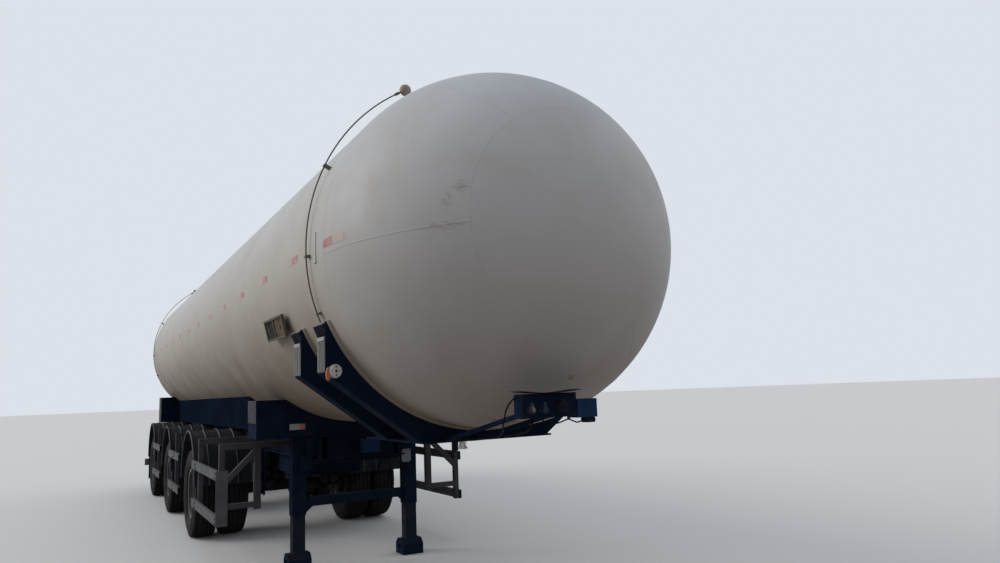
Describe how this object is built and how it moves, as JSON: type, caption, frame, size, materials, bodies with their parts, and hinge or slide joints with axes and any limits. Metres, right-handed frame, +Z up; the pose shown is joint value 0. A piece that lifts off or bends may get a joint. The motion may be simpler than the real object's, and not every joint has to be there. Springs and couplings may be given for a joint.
{
  "type": "pressure tank semi-trailer",
  "caption": "Pressure tank semi-trailer with hemispherical heads, front saddles and coupler plate, landing legs, side guards and spaced axles with twin tyres, standing uncoupled.",
  "frame": {"origin": "on the ground, below the middle of the tank: the bottom centre of the bounding box", "axes": "+X forward along the tank, +Y to the trailer's left, +Z up"},
  "size_m": [13.9, 2.6, 3.823],
  "materials": {
    "tank_paint": "weathered semi-gloss paint",
    "frame_paint": "dusty semi-gloss paint",
    "guard_paint": "dusty paint",
    "strip_paint": "paint",
    "pipe_paint": "weathered paint",
    "kingpin_steel": "greased steel",
    "slide_steel": "dusty paint",
    "rim_paint": "dusty paint",
    "axle_paint": "dusty paint",
    "tyre_rubber": "dusty rubber",
    "rubber": "rubber",
    "fender_plastic": "moulded plastic",
    "lamp_amber": "moulded lens",
    "lamp_white": "moulded lens",
    "lamp_red": "moulded lens",
    "placard_paint": "weathered paint"
  },
  "bodies": {
    "root": {"tank_shell": "tank_paint", "front_head": "tank_paint", "rear_head": "tank_paint", "front_saddle": "frame_paint", "second_saddle": "frame_paint", "saddle_end_strips": "strip_paint", "saddle_caps": "rubber", "wear_pads": "tank_paint", "coupler_plate": "frame_paint", "kingpin": "kingpin_steel", "coupling_panel": "frame_paint", "panel_hood": "frame_paint", "panel_box": "frame_paint", "lamp_pipes": "pipe_paint", "corner_lamps": "lamp_amber", "front_markers": "lamp_white", "placard_frames": "placard_paint", "landing_cradle": "frame_paint", "rear_cradle": "frame_paint", "cradle_end_strips": "strip_paint", "cradles": "frame_paint", "side_sills": "frame_paint", "frame_rails": "frame_paint", "cross_members": "frame_paint", "valve_box": "frame_paint", "leg_tubes": "frame_paint", "leg_gears": "frame_paint", "leg_tie": "frame_paint", "guard_frames": "guard_paint", "side_guard_right": "guard_paint", "side_guard_left": "guard_paint", "axles": "axle_paint", "brake_chambers": "axle_paint", "hangers": "frame_paint", "trailing_arms": "axle_paint", "air_springs": "rubber", "air_reservoir": "axle_paint", "fenders": "fender_plastic", "mud_flaps": "rubber", "rear_bumper": "guard_paint", "rear_lamps": "lamp_red", "valve_cabinet": "frame_paint"},
    "wheel_1_right": {"tyres_1_right": "tyre_rubber", "rims_1_right": "rim_paint"},
    "wheel_1_left": {"tyres_1_left": "tyre_rubber", "rims_1_left": "rim_paint"},
    "wheel_2_right": {"tyres_2_right": "tyre_rubber", "rims_2_right": "rim_paint"},
    "wheel_2_left": {"tyres_2_left": "tyre_rubber", "rims_2_left": "rim_paint"},
    "wheel_3_right": {"tyres_3_right": "tyre_rubber", "rims_3_right": "rim_paint"},
    "wheel_3_left": {"tyres_3_left": "tyre_rubber", "rims_3_left": "rim_paint"},
    "leg_right": {"leg_slide_right": "slide_steel", "foot_right": "frame_paint"},
    "leg_left": {"leg_slide_left": "slide_steel", "foot_left": "frame_paint"}
  },
  "joints": [
    {"name": "wheel_1_right_spin", "type": "hinge", "parent": "root", "child": "wheel_1_right", "pos_m": [0.1, -0.935, 0.522], "axis": [0, 1, 0], "continuous": true},
    {"name": "wheel_1_left_spin", "type": "hinge", "parent": "root", "child": "wheel_1_left", "pos_m": [0.1, 0.935, 0.522], "axis": [0, 1, 0], "continuous": true},
    {"name": "wheel_2_right_spin", "type": "hinge", "parent": "root", "child": "wheel_2_right", "pos_m": [-2.4, -0.935, 0.522], "axis": [0, 1, 0], "continuous": true},
    {"name": "wheel_2_left_spin", "type": "hinge", "parent": "root", "child": "wheel_2_left", "pos_m": [-2.4, 0.935, 0.522], "axis": [0, 1, 0], "continuous": true},
    {"name": "wheel_3_right_spin", "type": "hinge", "parent": "root", "child": "wheel_3_right", "pos_m": [-4.9, -0.935, 0.522], "axis": [0, 1, 0], "continuous": true},
    {"name": "wheel_3_left_spin", "type": "hinge", "parent": "root", "child": "wheel_3_left", "pos_m": [-4.9, 0.935, 0.522], "axis": [0, 1, 0], "continuous": true},
    {"name": "leg_right_slide", "type": "slide", "parent": "root", "child": "leg_right", "axis": [0, 0, 1], "range_m": [-0.1, 0.31]},
    {"name": "leg_left_slide", "type": "slide", "parent": "root", "child": "leg_left", "axis": [0, 0, 1], "range_m": [-0.1, 0.31]}
  ],
  "couplings": [
    {"joint": "leg_left_slide", "follows": "leg_right_slide", "ratio": 1}
  ]
}
